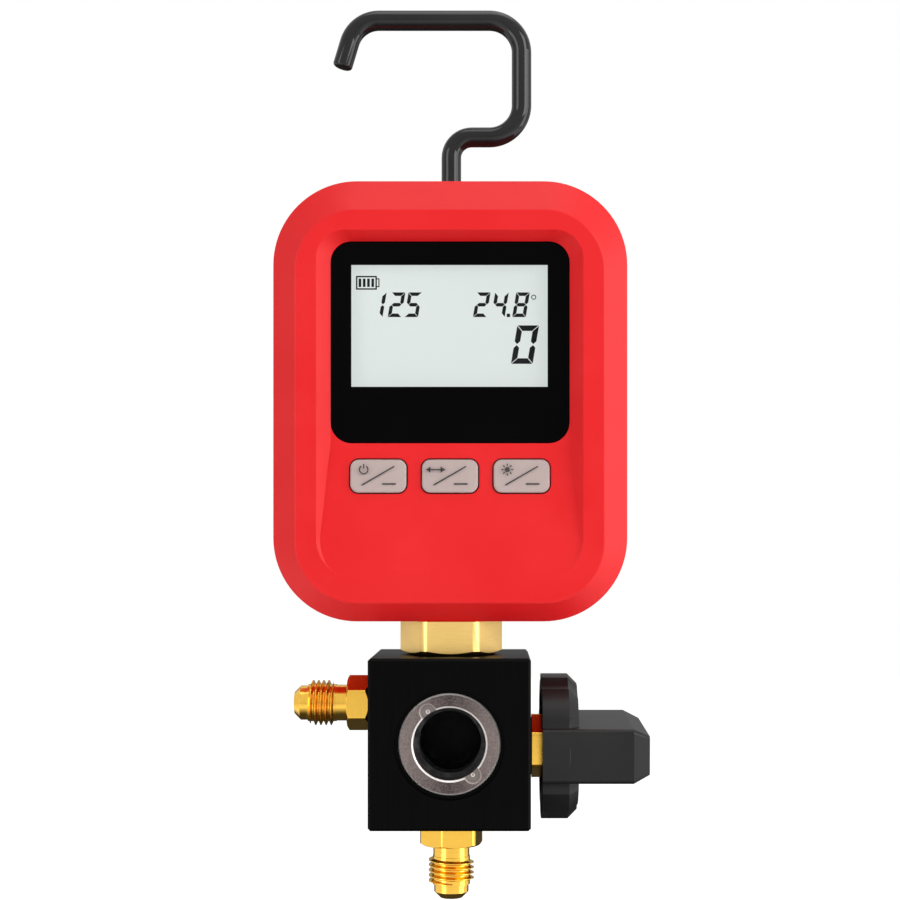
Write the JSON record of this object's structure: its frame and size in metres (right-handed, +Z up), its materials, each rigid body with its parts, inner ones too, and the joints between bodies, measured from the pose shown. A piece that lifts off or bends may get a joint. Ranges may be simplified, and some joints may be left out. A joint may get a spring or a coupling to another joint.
{
  "type": "refrigerant manifold gauge",
  "caption": "Single valve digital refrigerant gauge: boxed display over a square valve block with sight glass, T-bar knob, side and lower flare unions, and a swivel hook.",
  "frame": {"origin": "underside of the hook's top bar, straight above the leg, where the gauge hangs", "axes": "+Z up along the hook's leg, -Y out of the display, +X out along the valve spindle"},
  "size_m": [0.0895, 0.038, 0.2171],
  "materials": {
    "black_lacquer": "gloss black lacquer over steel rod",
    "zinc_steel": "zinc plated",
    "black_nylon": "satin nylon",
    "red_shell": "satin red moulding",
    "dark_rubber": "matte",
    "black_screw": "blackened steel",
    "cell_jacket": "plain jacket",
    "bright_nickel": "bright",
    "display_glass": "gloss black lens",
    "display_face": "pale display",
    "light_guide": "white diffuser",
    "board_green": "solder mask",
    "dark_plastic": "satin",
    "key_grey": "satin pale grey",
    "satin_brass": "turned satin brass",
    "polished_brass": "polished brass",
    "black_anodised": "black anodised, fine brushing",
    "plated_ring": "grained dull nickel plate",
    "sight_glass": "clear",
    "white_pad": "fluoropolymer",
    "knob_black": "satin black moulding"
  },
  "bodies": {
    "hook": {"hook_rod": "black_lacquer", "hook_clip": "zinc_steel", "hook_washer": "zinc_steel"},
    "gauge": {"front_case": "red_shell", "rear_case": "red_shell", "case_seal": "dark_rubber", "case_screws": "black_screw", "hook_bushing": "black_nylon", "battery_cells": "cell_jacket", "battery_contacts": "bright_nickel", "cover_gasket": "dark_rubber", "battery_cover": "red_shell", "cover_screws": "black_screw", "window_gasket": "dark_rubber", "display_window": "display_glass", "lcd_panel": "display_face", "backlight": "light_guide", "circuit_board": "board_green", "board_screws": "zinc_steel", "button_switches": "dark_plastic", "sensor_neck": "satin_brass", "sensor_nut": "satin_brass", "sensor_o_ring": "dark_rubber", "pressure_sensor": "bright_nickel", "valve_block": "black_anodised", "sight_glass_ring": "plated_ring", "glass_washer": "dark_rubber", "sight_glass": "sight_glass", "glass_seal": "dark_rubber", "left_port": "polished_brass", "left_port_seal": "dark_rubber", "bottom_port": "polished_brass", "bottom_port_seal": "dark_rubber", "bonnet_seal": "dark_rubber", "valve_bonnet": "polished_brass", "spindle_o_ring": "dark_rubber"},
    "valve_stem": {"seat_pad": "white_pad"},
    "valve_knob": {"knob": "knob_black", "knob_cap": "knob_black", "knob_screw": "zinc_steel", "valve_spindle": "polished_brass"},
    "key_left": {"button_left": "key_grey"},
    "key_middle": {"button_middle": "key_grey"},
    "key_right": {"button_right": "key_grey"}
  },
  "joints": [
    {"name": "hook_swivel", "type": "hinge", "parent": "hook", "child": "gauge", "pos_m": [0, 0, -0.0392], "axis": [0, 0, 1], "continuous": true},
    {"name": "stem_travel", "type": "slide", "parent": "gauge", "child": "valve_stem", "axis": [1, 0, 0], "range_m": [0, 0.0025]},
    {"name": "knob_turn", "type": "hinge", "parent": "valve_stem", "child": "valve_knob", "pos_m": [0.0191, 0, -0.1752], "axis": [1, 0, 0], "range_deg": [0, 900]},
    {"name": "key_left_press", "type": "slide", "parent": "gauge", "child": "key_left", "axis": [0, 1, 0], "range_m": [0, 0.0006], "stiffness_N_per_m": 1500},
    {"name": "key_middle_press", "type": "slide", "parent": "gauge", "child": "key_middle", "axis": [0, 1, 0], "range_m": [0, 0.0006], "stiffness_N_per_m": 1500},
    {"name": "key_right_press", "type": "slide", "parent": "gauge", "child": "key_right", "axis": [0, 1, 0], "range_m": [0, 0.0006], "stiffness_N_per_m": 1500}
  ],
  "couplings": [
    {"joint": "stem_travel", "follows": "knob_turn", "m_per_rad": 0.00015915}
  ]
}
